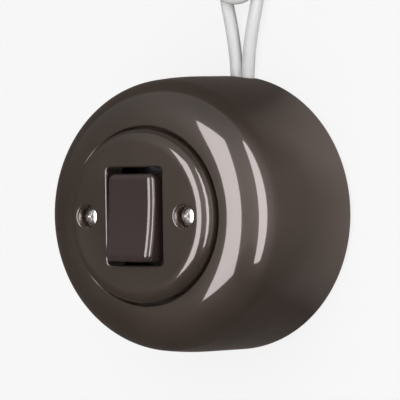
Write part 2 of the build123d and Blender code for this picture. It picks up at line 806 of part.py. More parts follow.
core_bends = [inner_bend_radius, inner_bend_radius, fork_bend_radius, wrap_radius, wrap_radius]
for side, name in ((-1, "core_left"), (1, "core_right")):
    with BuildPart() as core:
        with BuildLine() as route:
            FilletPolyline(*core_route(side), radius=core_bends)
        path = route.wires()[0]
        with BuildSketch(Plane(origin=path @ 0, z_dir=path % 0)):
            Circle(core_radius)
        sweep(path=path)
    expected = math.pi * core_radius**2 * path.length
    print(name, "length", round(path.length, 1), "bends", core_bends)
    print(name, "volume over section times length", round(core.part.volume / expected, 4))
    keep(core, name)

# Wall insulator with its screw
knob_front = waist_depth + knob_thickness
with BuildPart() as wall_insulator:
    with BuildSketch(turning(x=knob_x, z=knob_height)):
        with BuildLine():
            crown = ThreePointArc(
                (knob_radius, knob_front),
                (knob_radius * 0.6, knob_front + knob_crown * 0.68),
                (knob_sink_radius, knob_front + knob_crown),
            )
            Polyline(
                crown @ 1,
                (knob_hole_radius, knob_front + knob_crown - knob_sink_depth),
                (knob_hole_radius, 0),
                (knob_foot_radius, 0),
                (knob_foot_radius, knob_foot_thickness),
                (waist_radius, knob_foot_thickness),
                (waist_radius, waist_depth),
                (knob_radius, waist_depth),
                crown @ 0,
            )
        make_face()
        fillet(vertices().sort_by_distance((knob_radius, waist_depth))[0], knob_round)
        fillet(vertices().sort_by_distance((knob_radius, knob_front))[0], knob_round)
    revolve(axis=turn_axis(x=knob_x, z=knob_height))
keep(wall_insulator, "wall_insulator")

sink_floor = knob_front + knob_crown - knob_sink_depth
sink_play = knob_hole_radius - knob_screw_radius
with BuildPart() as insulator_screw:
    with BuildSketch(turning(x=knob_x, z=knob_height)):
        with BuildLine():
            Polyline(
                (0, knob_screw_clear),
                (knob_screw_radius, knob_screw_clear),
                (knob_screw_radius, sink_floor),
                (knob_sink_radius - sink_play, sink_floor + knob_sink_depth),
                (0, sink_floor + knob_sink_depth),
                close=True,
            )
        make_face()
    revolve(axis=turn_axis(x=knob_x, z=knob_height))
    with BuildSketch(facing(sink_floor + knob_sink_depth, x=knob_x, z=knob_height)):
        Rectangle(2 * knob_sink_radius, driver_slot_width)
    extrude(amount=-driver_slot_depth, mode=Mode.SUBTRACT)
keep(insulator_screw, "insulator_screw")
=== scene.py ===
# %% [markdown]
# A round porcelain wall switch, dressed for the studio. The solids come in as a fixed frame: every piece
# is already at its real place, in metres, with the wall at Y = 0 and the room towards -Y. What is left to
# make is what the eye sees: the glaze, the plated screws, the braid on the two cores, the camera and the
# light.

# %% Load the frame
import json
import math

import bmesh
import bpy
from mathutils import Matrix, Vector

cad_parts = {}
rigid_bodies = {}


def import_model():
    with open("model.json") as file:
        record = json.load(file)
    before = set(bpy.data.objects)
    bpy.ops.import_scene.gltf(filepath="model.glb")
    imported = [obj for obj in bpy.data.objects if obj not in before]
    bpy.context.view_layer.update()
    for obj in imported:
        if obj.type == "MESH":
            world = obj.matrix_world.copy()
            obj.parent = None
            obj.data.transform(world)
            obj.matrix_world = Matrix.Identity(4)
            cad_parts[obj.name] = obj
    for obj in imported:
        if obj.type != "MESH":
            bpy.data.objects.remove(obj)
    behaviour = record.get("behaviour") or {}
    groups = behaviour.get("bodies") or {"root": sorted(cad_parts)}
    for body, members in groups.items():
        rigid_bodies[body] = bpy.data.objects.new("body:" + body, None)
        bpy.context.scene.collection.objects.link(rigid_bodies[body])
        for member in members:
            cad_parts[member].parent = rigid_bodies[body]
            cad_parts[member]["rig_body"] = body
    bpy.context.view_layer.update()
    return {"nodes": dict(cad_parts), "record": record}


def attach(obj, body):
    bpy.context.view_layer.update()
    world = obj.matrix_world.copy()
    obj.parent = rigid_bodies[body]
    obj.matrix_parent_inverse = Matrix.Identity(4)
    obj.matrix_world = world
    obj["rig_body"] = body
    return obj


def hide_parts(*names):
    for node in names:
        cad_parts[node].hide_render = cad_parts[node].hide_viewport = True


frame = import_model()
nodes = frame["nodes"]

# %% [markdown]
# The photograph was taken from the switch's right, at the height of its middle, from nearly a metre away.
# Three angles turn the camera about the middle of the face, and two more aim it a little past that point.
# The focal length is worked out from a width of 400 pixels, because that is how wide the picture is.

# %% Camera
MM = 0.001
FACE_MIDDLE = Vector((0, -62.5 * MM, 0))
CAMERA_DISTANCE = 850 * MM
CAMERA_AZIMUTH = math.radians(36.5)
CAMERA_ELEVATION = math.radians(0.95)
CAMERA_ROLL = math.radians(-0.92)
AIM_RIGHT = math.radians(1.54)
AIM_UP = math.radians(0.36)
FOCAL_PIXELS = 2456
PICTURE_PIXELS = 400
SENSOR_WIDTH = 36


def direction(azimuth, elevation):
    """The unit vector from the switch towards these angles, where azimuth 0 is straight ahead."""
    flat = math.cos(elevation)
    return Vector((math.sin(azimuth) * flat, -math.cos(azimuth) * flat, math.sin(elevation)))


def turned_to(forward, roll=0.0):
    """The rotation of a camera or a lamp that looks along forward and is rolled about it."""
    forward = forward.normalized()
    right = forward.cross(Vector((0, 0, 1))).normalized()
    up = right.cross(forward)
    rolled_right = math.cos(roll) * right + math.sin(roll) * up
    rolled_up = math.cos(roll) * up - math.sin(roll) * right
    return Matrix((rolled_right, rolled_up, -forward)).transposed()


def add_object(name, data):
    """An object at the origin that shows this data, linked into the scene."""
    thing = bpy.data.objects.new(name, data)
    bpy.context.scene.collection.objects.link(thing)
    return thing


def make_camera():
    towards = direction(CAMERA_AZIMUTH, CAMERA_ELEVATION)
    right = Vector((math.cos(CAMERA_AZIMUTH), math.sin(CAMERA_AZIMUTH), 0))
    up = right.cross(-towards)
    forward = -towards + math.tan(AIM_RIGHT) * right + math.tan(AIM_UP) * up
    data = bpy.data.cameras.new("camera")
    data.sensor_width = SENSOR_WIDTH
    data.lens = FOCAL_PIXELS * SENSOR_WIDTH / PICTURE_PIXELS
    camera = add_object("camera", data)
    camera.matrix_world = (
        Matrix.Translation(FACE_MIDDLE + CAMERA_DISTANCE * towards) @ turned_to(forward, CAMERA_ROLL).to_4x4()
    )
    bpy.context.scene.camera = camera
    return camera


camera = make_camera()
print("camera at", [round(x, 3) for x in camera.location], "lens", round(camera.data.lens, 1), "mm")

# %% [markdown]
# The two cores are single insulated wires in a braided sleeve. Each leaves its terminal, bends back to the
# wall, runs up it beside the other and forks to go round the insulator. A smooth spline through a few points
# is how such a wire lies. The points are those of the solids, with one more near the first bend at the
# insulator, because the photograph shows the fork's arms straight.

# %% Routes of the two cores
CORE_RADIUS = 2.4 * MM
CORE_GAP = 0.06 * MM
CORE_DEPTH = 2.9 * MM
PAIR_CENTRE = 6.0 * MM
TERMINAL_OFFSET = 5.6 * MM
TERMINAL_DEPTH = 20.1 * MM
CORE_START = 17.5 * MM
LOWER_BEND = 25.9 * MM
UPPER_BEND = 38.4 * MM
FORK_HEIGHT = 58.0 * MM
KNOB_X = 7.5 * MM
KNOB_HEIGHT = 87.5 * MM
WRAP_RADIUS = 8.3 * MM
WRAP_DEPTH = 4.7 * MM
LOOP_FLAT = 0.5 * MM
LOOP_GAP = 0.06 * MM
SPLINE_STEPS = 60


def core_points(side):
    """The route of one core; side is 1 for the right one and -1 for the left."""
    run_x = PAIR_CENTRE + side * (CORE_RADIUS + CORE_GAP / 2)
    loop_x = KNOB_X + side * LOOP_FLAT
    spread = side * (loop_x - run_x)
    rise = KNOB_HEIGHT - FORK_HEIGHT
    lean = math.atan2(spread, rise) + math.asin(WRAP_RADIUS / math.hypot(spread, rise))
    half_turn = (math.pi / 2 + lean) / 4
    corner_radius = WRAP_RADIUS / math.cos(half_turn)
    corners = []
    for turn in (half_turn - lean, math.pi / 2 - half_turn):
        across = side * corner_radius * math.cos(turn)
        up = corner_radius * math.sin(turn)
        corners.append(Vector((loop_x + across, -WRAP_DEPTH, KNOB_HEIGHT + up)))
    fork = Vector((run_x, -CORE_DEPTH, FORK_HEIGHT))
    short_run = (corners[1] - corners[0]).length
    before_bend = corners[0] + (fork - corners[0]).normalized() * short_run
    return [
        Vector((side * TERMINAL_OFFSET, -TERMINAL_DEPTH, CORE_START)),
        Vector((side * TERMINAL_OFFSET, -TERMINAL_DEPTH, LOWER_BEND)),
        Vector((run_x, -CORE_DEPTH, UPPER_BEND)),
        fork,
        before_bend,
        *corners,
        Vector((KNOB_X + side * LOOP_GAP / 2, -WRAP_DEPTH, KNOB_HEIGHT + WRAP_RADIUS)),
    ]


def spline_line(points):
    """The points along a smooth spline that has the given control points."""
    data = bpy.data.curves.new("route", "CURVE")
    data.dimensions = "3D"
    data.resolution_u = SPLINE_STEPS
    spline = data.splines.new("NURBS")
    spline.points.add(len(points) - 1)
    for knot, point in zip(spline.points, points):
        knot.co = (*point, 1)
    spline.order_u = 3
    spline.use_endpoint_u = True
    route = add_object("route", data)
    mesh = bpy.data.meshes.new_from_object(route)
    line = [v.co.copy() for v in mesh.vertices]
    bpy.data.objects.remove(route)
    bpy.data.curves.remove(data)
    bpy.data.meshes.remove(mesh)
    return line


core_lines = {name: spline_line(core_points(side)) for name, side in (("core_left", -1), ("core_right", 1))}


def line_length(line):
    return sum((b - a).length for a, b in zip(line, line[1:]))


for name, line in core_lines.items():
    print(name, "length", round(line_length(line) / MM, 1), "mm")

# %% [markdown]
# The sleeve is a braid: two families of flat strands wind opposite ways and pass over and under each
# other. It could be a bump in the material, but its edge against the white wall would then stay as smooth
# as plastic. So a circle is extruded ring by ring along the spline, and each vertex sinks where no strand
# lies on top. The glaze in the photograph mirrors no core, so the cores are left out of mirror images.

# %% Braided sleeves
STRANDS_EACH_WAY = 10
STRAND_PITCH = 1.25 * MM
BRAID_HEIGHT = 0.07 * MM
STRAND_LEVEL = 0.6
STRAND_WEAVE = 0.4
RING_SIDES = 80
RING_STEP = 0.17 * MM
SEAM_SHARE = 0.25


def new_piece(name, bm):
    """An object at the origin that shows a finished bmesh."""
    mesh = bpy.data.meshes.new(name)
    bm.to_mesh(mesh)
    bm.free()
    return add_object(name, mesh)


def even_steps(line, step):
    """Points at even steps along a line, with the distance along it of each."""
    total = line_length(line)
    count = round(total / step)
    targets = [total * i / count for i in range(count + 1)]
    found = []
    travelled = 0.0
    index = 0
    for target in targets:
        while index < len(line) - 2 and travelled + (line[index + 1] - line[index]).length < target:
            travelled += (line[index + 1] - line[index]).length
            index += 1
        share = (target - travelled) / (line[index + 1] - line[index]).length
        found.append((line[index].lerp(line[index + 1], min(share, 1.0)), target))
    return found


def braid_rise(turn, along):
    """How far the sleeve stands above its lowest, from 0 to 1, at a share of a turn and a distance along."""
    a = STRANDS_EACH_WAY * turn + along / STRAND_PITCH
    b = STRANDS_EACH_WAY * turn - along / STRAND_PITCH
    crown_a = 1 - (2 * (a % 1) - 1) ** 2
    crown_b = 1 - (2 * (b % 1) - 1) ** 2
    sign_a = 1 if math.floor(a) % 2 == 0 else -1
    sign_b = 1 if math.floor(b) % 2 == 0 else -1
    over_a = STRAND_LEVEL + STRAND_WEAVE * sign_a * math.sin(math.pi * b)
    over_b = STRAND_LEVEL - STRAND_WEAVE * sign_b * math.sin(math.pi * a)
    return max(crown_a * over_a, crown_b * over_b)


def frames_along(steps):
    """A matrix for each step, whose Z axis points along the line and which turns as little as it can."""
    frames = []
    across = Vector((1, 0, 0))
    for i, (centre, _) in enumerate(steps):
        ahead = (steps[min(i + 1, len(steps) - 1)][0] - steps[max(i - 1, 0)][0]).normalized()
        across = (across - ahead * across.dot(ahead)).normalized()
        turned = Matrix((across, ahead.cross(across), ahead)).transposed()
        frames.append(Matrix.Translation(centre) @ turned.to_4x4())
    return frames


def braided_tube(name, line):
    """A closed tube round a line, with the braid in its surface and a UV map of turns and distance."""
    bm = bmesh.new()
    turns = bm.verts.layers.float.new("turn")
    steps = even_steps(line, RING_STEP)
    frames = frames_along(steps)
    circle = bmesh.ops.create_circle(bm, segments=RING_SIDES, radius=CORE_RADIUS, matrix=frames[0])
    for k, vert in enumerate(circle["verts"]):
        vert[turns] = k / RING_SIDES
    rings = [circle["verts"]]
    edges = bm.edges[:]
    end_edges = bm.edges[:]
    for before, frame_here in zip(frames, frames[1:]):
        grown = bmesh.ops.extrude_edge_only(bm, edges=edges)["geom"]
        ring = [v for v in grown if isinstance(v, bmesh.types.BMVert)]
        members = set(ring)
        edges = [e for e in grown if isinstance(e, bmesh.types.BMEdge) and members.issuperset(e.verts)]
        bmesh.ops.transform(bm, matrix=frame_here @ before.inverted(), verts=ring)
        rings.append(ring)
    bmesh.ops.edgeloop_fill(bm, edges=end_edges)
    bmesh.ops.edgeloop_fill(bm, edges=edges)
    bmesh.ops.recalc_face_normals(bm, faces=bm.faces)
    distance = {}
    for ring, (centre, along) in zip(rings, steps):
        for vert in ring:
            sink = BRAID_HEIGHT * (1 - braid_rise(vert[turns], along))
            vert.co -= sink * (vert.co - centre).normalized()
            distance[vert] = along / (math.tau * CORE_RADIUS)
    uv = bm.loops.layers.uv.new("sleeve")
    for face in bm.faces:
        face.smooth = len(face.verts) == 4
        past_seam = max(v[turns] for v in face.verts) > 1 - SEAM_SHARE
        for loop in face.loops:
            turn = loop.vert[turns]
            loop[uv].uv = (turn + 1 if past_seam and turn < SEAM_SHARE else turn, distance[loop.vert])
    return new_piece(name, bm)


cores = {}
for name, line in core_lines.items():
    core = braided_tube(f"{name}_braid", line)
    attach(core, "wall_side")
    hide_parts(name)
    core.visible_glossy = False
    cores[name] = core
    print(core.name, "faces", len(core.data.polygons))

# %% [markdown]
# Several finishes share the same small effects, such as fine scratches or a slight ripple. Each effect is
# a node group with named inputs and outputs: it is built once and then placed in every material that
# needs it. A few short helpers keep the node code readable: they add a node and fill its sockets, blend,
# calculate and stretch values.

# %% Helpers for node trees
NOISE_LOW = 0.3
NOISE_HIGH = 0.7


def fill(tree, node, sockets):
    """Sets each named or numbered input of a node to a value, or links it to the socket that feeds it."""
    for key, value in sockets.items():
        if isinstance(value, bpy.types.NodeSocket):
            tree.links.new(value, node.inputs[key])
        else:
            node.inputs[key].default_value = value


def place(tree, kind, sockets=None, **settings):
    """Adds one node, with its settings and its filled sockets."""
    node = tree.nodes.new("ShaderNode" + kind)
    for key, value in settings.items():
        setattr(node, key, value)
    fill(tree, node, sockets or {})
    return node


def blend_colours(tree, share, first, second):
    """The colour between two colours, where share goes from 0 to 1."""
    node = place(tree, "Mix", {0: share, 6: first, 7: second}, data_type="RGBA")
    return node.outputs[2]


def math_node(tree, operation, first, second=0.0, clamp=False):
    return place(tree, "Math", {0: first, 1: second}, operation=operation, use_clamp=clamp).outputs[0]


def ramp(tree, value, low, high, to_low=0.0, to_high=1.0):
    """Stretches the values from low to high over the range from to_low to to_high."""
    sockets = {0: value, 1: low, 2: high, 3: to_low, 4: to_high}
    return place(tree, "MapRange", sockets, clamp=True).outputs[0]


def noise(tree, vector, scale, detail, distortion=0.0):
    sockets = {"Vector": vector, "Scale": scale, "Detail": detail, "Distortion": distortion}
    return place(tree, "TexNoise", sockets).outputs[0]


def noise_range(tree, value, to_low=0.0, to_high=1.0):
    """Stretches the middle of a noise, where most of its values lie, over a range."""
    return ramp(tree, value, NOISE_LOW, NOISE_HIGH, to_low, to_high)


def new_group(name, inputs, outputs):
    """An empty node group; inputs maps a name to (kind, value), and outputs maps a name to its kind."""
    tree = bpy.data.node_groups.new(name, "ShaderNodeTree")
    for label, (kind, value) in inputs.items():
        socket = tree.interface.new_socket(name=label, in_out="INPUT", socket_type="NodeSocket" + kind)
        if value is not None:
            socket.default_value = value
    for label, kind in outputs.items():
        tree.interface.new_socket(name=label, in_out="OUTPUT", socket_type="NodeSocket" + kind)
    start = tree.nodes.new("NodeGroupInput")
    end = tree.nodes.new("NodeGroupOutput")
    return tree, start.outputs, end.inputs


def use_group(tree, group, sockets):
    """Places a node group in a material and fills its inputs."""
    node = tree.nodes.new("ShaderNodeGroup")
    node.node_tree = group
    fill(tree, node, sockets)
    return node.outputs


# %% [markdown]
# Glaze is never one flat colour: it runs while it melts, so it is a shade deeper where it lies thick and
# shows pin-sized specks and a faint ripple in the reflections. The bubbles and specks inside it scatter
# light, and this haze is uneven too. The same effect, with other values, serves the brown switch and the
# white insulator.

# %% Effect: fired glaze
glaze_group, glaze_in, glaze_out = new_group(
    "fired_glaze",
    {
        "Vector": ("Vector", None),
        "Thick Colour": ("Color", (0.02, 0.015, 0.01, 1)),
        "Thin Colour": ("Color", (0.04, 0.03, 0.02, 1)),
        "Cloud Scale": ("Float", 40.0),
        "Ripple Scale": ("Float", 220.0),
        "Speck Scale": ("Float", 900.0),
        "Haze": ("Float", 0.4),
    },
    {"Colour": "Color", "Roughness": "Float", "Height": "Float"},
)
SPECK_RADIUS = 0.10
SPECK_CORE = 0.04
SPECK_DEPTH = 0.25
PIT_DEPTH = -1.5
tree = glaze_group
clouds = noise(tree, glaze_in["Vector"], glaze_in["Cloud Scale"], 3.0)
ripple = noise(tree, glaze_in["Vector"], glaze_in["Ripple Scale"], 2.0)
specks = place(tree, "TexVoronoi", {"Vector": glaze_in["Vector"], "Scale": glaze_in["Speck Scale"]})
speck_share = ramp(tree, specks.outputs[0], SPECK_RADIUS, SPECK_CORE, 0.0, SPECK_DEPTH)
shade = blend_colours(tree, noise_range(tree, clouds), glaze_in["Thick Colour"], glaze_in["Thin Colour"])
tree.links.new(blend_colours(tree, speck_share, shade, glaze_in["Thick Colour"]), glaze_out["Colour"])
rough_share = noise_range(tree, clouds, 0.85, 1.2)
tree.links.new(math_node(tree, "MULTIPLY", rough_share, glaze_in["Haze"]), glaze_out["Roughness"])
pits = math_node(tree, "MULTIPLY", speck_share, PIT_DEPTH)
tree.links.new(math_node(tree, "ADD", ripple, pits), glaze_out["Height"])
print("effect", glaze_group.name, "inputs", len(glaze_in) - 1)

# %% [markdown]
# Handling leaves hair-fine scratches on anything polished. Stretched noise, cut to its thinnest streaks,
# gives them in any direction that the mapping is turned to.

# %% Effect: hair scratches
scratch_group, scratch_in, scratch_out = new_group(
    "hair_scratches",
    {
        "Vector": ("Vector", None),
        "Scale": ("Float", 300.0),
        "Amount": ("Float", 0.5),
    },
    {"Mask": "Float", "Height": "Float"},
)
STREAK_STRETCH = 0.04
STREAK_FROM = 0.66
STREAK_FULL = 0.72
tree = scratch_group
streaks = []
for turn, stretch in (
    ((0.3, 0.5, 0.9), (1, 1, STREAK_STRETCH)),
    ((1.1, 0.2, 2.3), (STREAK_STRETCH, 1, 1)),
):
    way = place(tree, "Mapping", {"Vector": scratch_in["Vector"], "Rotation": turn, "Scale": stretch})
    long_noise = noise(tree, way.outputs[0], scratch_in["Scale"], 1.0)
    streaks.append(ramp(tree, long_noise, STREAK_FROM, STREAK_FULL))
both_ways = math_node(tree, "MAXIMUM", streaks[0], streaks[1])
mask = math_node(tree, "MULTIPLY", both_ways, scratch_in["Amount"])
tree.links.new(mask, scratch_out["Mask"])
tree.links.new(math_node(tree, "MULTIPLY", mask, -1.0), scratch_out["Height"])
print("effect", scratch_group.name)

# %% [markdown]
# Moulded plastic takes the skin of its mould: a very fine grain that softens the gloss, and slow changes
# of shade where the material flowed. Satin and polished mouldings differ only in the values.

# %% Effect: mould skin
mould_group, mould_in, mould_out = new_group(
    "mould_skin",
    {
        "Vector": ("Vector", None),
        "Colour": ("Color", (0.05, 0.04, 0.03, 1)),
        "Grain Scale": ("Float", 2500.0),
        "Roughness": ("Float", 0.3),
        "Variation": ("Float", 0.2),
    },
    {"Colour": "Color", "Roughness": "Float", "Height": "Float"},
)
FLOW_SCALE = 60.0
FLOW_SHADE = 0.6
tree = mould_group
grain = noise(tree, mould_in["Vector"], mould_in["Grain Scale"], 2.0)
flow = noise(tree, mould_in["Vector"], FLOW_SCALE, 2.0, distortion=1.5)
darker = place(tree, "HueSaturation", {"Color": mould_in["Colour"], "Value": FLOW_SHADE}).outputs[0]
flow_share = math_node(tree, "MULTIPLY", noise_range(tree, flow), mould_in["Variation"])
tree.links.new(blend_colours(tree, flow_share, mould_in["Colour"], darker), mould_out["Colour"])
grain_share = noise_range(tree, grain, 0.9, 1.15)
tree.links.new(math_node(tree, "MULTIPLY", grain_share, mould_in["Roughness"]), mould_out["Roughness"])
tree.links.new(grain, mould_out["Height"])
print("effect", mould_group.name)

# %% [markdown]
# A material is a Principled shader with these effects plugged in. What stays the same all over a surface,
# such as the metal or the coat, is set on the shader itself. A glaze is built in two layers, as the real
# one works: a clear coat gives the sharp streaks, and a hazy layer with a weak mirror under it gives the
# soft sheen beside them.

# %% Helpers for materials
COAT_ROUGHNESS = 0.06
FINE_RELIEF = 0.02 * MM
COARSE_RELIEF = 0.05 * MM
SCRATCH_BUMP = 0.15
SCRATCH_DULLS = 0.15


def start_material(name):
    """A material with one Principled shader, its tree, the shader and the object coordinates."""
    material = bpy.data.materials.new(name)
    material.use_nodes = True
    tree = material.node_tree
    shader = tree.nodes["Principled BSDF"]
    coordinates = place(tree, "TexCoord").outputs["Object"]
    return material, tree, shader, coordinates


def feed(tree, shader, colour, roughness, height, bump, relief=FINE_RELIEF):
    """Plugs colour, roughness and a bump from a height into the shader."""
    node = place(tree, "Bump", {"Height": height, "Strength": bump, "Distance": relief})
    fill(tree, shader, {"Base Color": colour, "Roughness": roughness, "Normal": node.outputs[0]})


def glazed(name, thick, thin, haze=0.45, haze_level=0.14, bump=0.15):
    """A clear coat over a hazy base, whose roughness is haze and whose mirror is as strong as haze_level."""
    material, tree, shader, coordinates = start_material(name)
    values = {
        "Vector": coordinates,
        "Thick Colour": (*thick, 1),
        "Thin Colour": (*thin, 1),
        "Haze": haze,
    }
    glaze = use_group(tree, glaze_group, values)
    feed(tree, shader, glaze["Colour"], glaze["Roughness"], glaze["Height"], bump)
    layers = {"Specular IOR Level": haze_level, "Coat Weight": 1.0, "Coat Roughness": COAT_ROUGHNESS}
    fill(tree, shader, layers)
    return material


def moulded(name, colour, roughness, variation=0.2, bump=0.1):
    """A moulded plastic of one colour; variation is how far its flow marks darken it."""
    material, tree, shader, coordinates = start_material(name)
    values = {
        "Vector": coordinates,
        "Colour": (*colour, 1),
        "Roughness": roughness,
        "Variation": variation,
    }
    skin = use_group(tree, mould_group, values)
    feed(tree, shader, skin["Colour"], skin["Roughness"], skin["Height"], bump)
    return material


def metal(name, colour, tarnish, roughness, scratches=0.5):
    """A metal with a slightly uneven tone and hair scratches that dull it."""
    material, tree, shader, coordinates = start_material(name)
    marks = use_group(tree, scratch_group, {"Vector": coordinates, "Amount": scratches})
    tone = noise(tree, coordinates, 180.0, 3.0)
    shade = blend_colours(tree, ramp(tree, tone, 0.35, NOISE_HIGH), (*colour, 1), (*tarnish, 1))
    marred = math_node(tree, "MULTIPLY", marks["Mask"], SCRATCH_DULLS)
    dulled = math_node(tree, "ADD", marred, roughness)
    uneven = math_node(tree, "MULTIPLY", dulled, noise_range(tree, tone, 0.8, 1.25))
    feed(tree, shader, shade, uneven, marks["Height"], SCRATCH_BUMP)
    shader.inputs["Metallic"].default_value = 1.0
    return material


# %% [markdown]
# The colours are the photograph's, as they look in plain light. The glaze is nearly black brown, and what
# makes it look lighter is the sheen. The rocker is a polished moulding of a slightly redder brown. The steel
# inside is given a near-black colour: painted shade for the gaps round the rocker, where hardly any light
# comes back out.

# %% Materials of the switch
materials = {
    "brown_glaze": glazed("brown_glaze", (0.031, 0.0212, 0.0150), (0.037, 0.0254, 0.0183)),
    "pale_glaze": glazed("pale_glaze", (0.60, 0.60, 0.59), (0.66, 0.66, 0.65), 0.35),
    "cap_plastic": moulded("cap_plastic", (0.043, 0.0295, 0.0285), 0.10, 0.12, 0.04),
    "dark_moulding": moulded("dark_moulding", (0.030, 0.020, 0.015), 0.38),
    "pale_moulding": moulded("pale_moulding", (0.52, 0.49, 0.42), 0.35),
    "nickel_screw": metal("nickel_screw", (0.78, 0.78, 0.76), (0.68, 0.67, 0.64), 0.21, 0.3),
    # Near-black steel and tarnish: painted shade for the dark gaps round the rocker.
    "steel": metal("steel", (0.075, 0.075, 0.080), (0.048, 0.048, 0.052), 0.20),
    "brass": metal("brass", (0.72, 0.52, 0.24), (0.55, 0.38, 0.17), 0.25),
    "copper": metal("copper", (0.80, 0.42, 0.28), (0.58, 0.27, 0.17), 0.24),
    "silver": metal("silver", (0.86, 0.85, 0.82), (0.70, 0.68, 0.64), 0.30),
}
print("materials", sorted(materials))

# %% [markdown]
# The base plate is the same porcelain without glaze. It is chalky and full of fine grains, so its
# roughness is high and its bump is sharp. The fibre washers and the braid are made of threads, which
# noise stretched along the threads gives. On the braid the noise runs along the strands, both ways over
# the sleeve's own coordinates.

# %% Materials of biscuit porcelain, fibre and braid
CHALK = (0.68, 0.66, 0.60, 1)
STAINED_CHALK = (0.58, 0.55, 0.48, 1)
DARK_FIBRE = (0.10, 0.03, 0.018, 1)
RED_FIBRE = (0.20, 0.07, 0.04, 1)
# SHADED_COTTON is the white cotton in painted shade, for the hollows between fibres.
SHADED_COTTON = (0.62, 0.625, 0.63, 1)
WHITE_COTTON = (0.70, 0.705, 0.71, 1)
STRAND_TURN = 0.7


def biscuit():
    material, tree, shader, coordinates = start_material("plain_porcelain")
    grain = noise(tree, coordinates, 1800.0, 4.0)
    stain = noise(tree, coordinates, 70.0, 4.0)
    shade = blend_colours(tree, ramp(tree, stain, 0.4, 0.75), CHALK, STAINED_CHALK)
    feed(tree, shader, shade, noise_range(tree, grain, 0.62, 0.85), grain, 0.35, COARSE_RELIEF)
    return material


def pressed_fibre():
    material, tree, shader, coordinates = start_material("fibre")
    along = place(tree, "Mapping", {"Vector": coordinates, "Scale": (1, 1, 0.25)})
    threads = noise(tree, along.outputs[0], 2200.0, 3.0)
    shade = blend_colours(tree, noise_range(tree, threads), DARK_FIBRE, RED_FIBRE)
    feed(tree, shader, shade, noise_range(tree, threads, 0.45, 0.7), threads, 0.3, COARSE_RELIEF)
    return material


def braided_cotton():
    material, tree, shader, _ = start_material("braid")
    sleeve = place(tree, "UVMap", uv_map="sleeve").outputs[0]
    heights = []
    for turn in (STRAND_TURN, -STRAND_TURN):
        way = place(tree, "Mapping", {"Vector": sleeve, "Rotation": (0, 0, turn), "Scale": (6, 1, 1)})
        heights.append(noise(tree, way.outputs[0], 14.0, 3.0))
    fibres = math_node(tree, "MAXIMUM", heights[0], heights[1])
    # The cotton is greyer where the fibre relief is low: painted shade between the fibres.
    shade = blend_colours(tree, ramp(tree, fibres, 0.35, 0.75), SHADED_COTTON, WHITE_COTTON)
    feed(tree, shader, shade, ramp(tree, fibres, 0.3, 0.8, 0.85, 0.65), fibres, 0.25, 0.03 * MM)
    shader.inputs["Sheen Weight"].default_value = 0.15
    return material


materials["plain_porcelain"] = biscuit()
materials["fibre"] = pressed_fibre()
materials["braid"] = braided_cotton()
for core in cores.values():
    core.data.materials.append(materials["braid"])
print("materials", len(materials))

# %% [markdown]
# The housing is turned like a bowl: every section through its middle is the same, but for the notch that
# lets the cores in. Its glaze mirrors the lamps in long streaks, and a streak shows the smallest
# unevenness, so the housing isn't copied from the solid. Its section is drawn once and spun, in steps
# fine enough for a clean streak. The section is made of straight runs and of arcs that leave each run
# without a kink.

# %% Section of the housing
BODY_RADIUS = 50.1 * MM
SIDE_RADIUS = 49.4 * MM
SIDE_DEPTH = 24.0 * MM
SHOULDER = (48.0 * MM, 42.2 * MM)
RECESS_RADIUS = 31.1 * MM
LIP_DEPTH = 56.8 * MM
SEAT_DEPTH = 53.5 * MM
LEDGE_RADIUS = 26.5 * MM
LEDGE_ROOT_RADIUS = 36.8 * MM
LEDGE_BACK = 48.0 * MM
INNER_RADIUS = 44.2 * MM
INNER_SIDE_DEPTH = 28.0 * MM
RIM_ROUND = 1.6 * MM
LIP_ROUND = 0.9 * MM
SHOULDER_STEPS = 14
KNUCKLE_STEPS = 48
CAVITY_STEPS = 16
ROUND_STEPS = 6


def arc_onwards(start, heading, end, steps):
    """The points of the arc that leaves start along heading and reaches end, and its heading there."""
    chord = end - start
    sweep = 2 * math.atan2(heading.cross(chord), heading.dot(chord))
    aside = Vector((-heading.y, heading.x)).normalized()
    centre = start + aside * chord.length_squared / (2 * chord.dot(aside))
    points = [centre + Matrix.Rotation(sweep * i / steps, 2) @ (start - centre) for i in range(1, steps + 1)]
    return points, Matrix.Rotation(sweep, 2) @ heading


def rounded_corner(before, corner, after, radius):
    """The points that replace a corner with an arc of this radius."""
    back = (before - corner).normalized()
    ahead = (after - corner).normalized()
    reach = radius / math.tan(back.angle(ahead) / 2)
    start = corner + reach * back
    points, _ = arc_onwards(start, -back, corner + reach * ahead, ROUND_STEPS)
    return [start] + points


def housing_section():
    """The closed section, as points of radius and depth, from the rim over the outside and back inside."""
    foot = Vector((BODY_RADIUS, 0))
    side = Vector((SIDE_RADIUS, SIDE_DEPTH))
    lip = Vector((RECESS_RADIUS, LIP_DEPTH))
    inner_foot = Vector((INNER_RADIUS, 0))
    inner_side = Vector((INNER_RADIUS, INNER_SIDE_DEPTH))
    root = Vector((LEDGE_ROOT_RADIUS, LEDGE_BACK))
    seat = Vector((RECESS_RADIUS, SEAT_DEPTH))
    shoulder, heading = arc_onwards(side, (side - foot).normalized(), Vector(SHOULDER), SHOULDER_STEPS)
    knuckle, heading = arc_onwards(Vector(SHOULDER), heading, lip, KNUCKLE_STEPS)
    knuckle = [p for p in knuckle if (p - lip).length > LIP_ROUND]
    cavity, _ = arc_onwards(inner_side, Vector((0, 1)), root, CAVITY_STEPS)
    return [
        *rounded_corner(inner_foot, foot, side, RIM_ROUND),
        side,
        *shoulder,
        *knuckle,
        *rounded_corner(lip - heading * MM, lip, seat, LIP_ROUND),
        seat,
        Vector((LEDGE_RADIUS, SEAT_DEPTH)),
        Vector((LEDGE_RADIUS, LEDGE_BACK)),
        *reversed(cavity),
        inner_side,
        inner_foot,
    ]


section = housing_section()
print("points in the housing's section", len(section))

# %% [markdown]
# A notch at the top is where the cores come in. It is cut with a block whose upright edges are rounded,
# and the edges that the cut leaves are softened a little, as glaze softens them. Thin faces beside a cut
# would darken the glaze there, so the large faces set the normals.

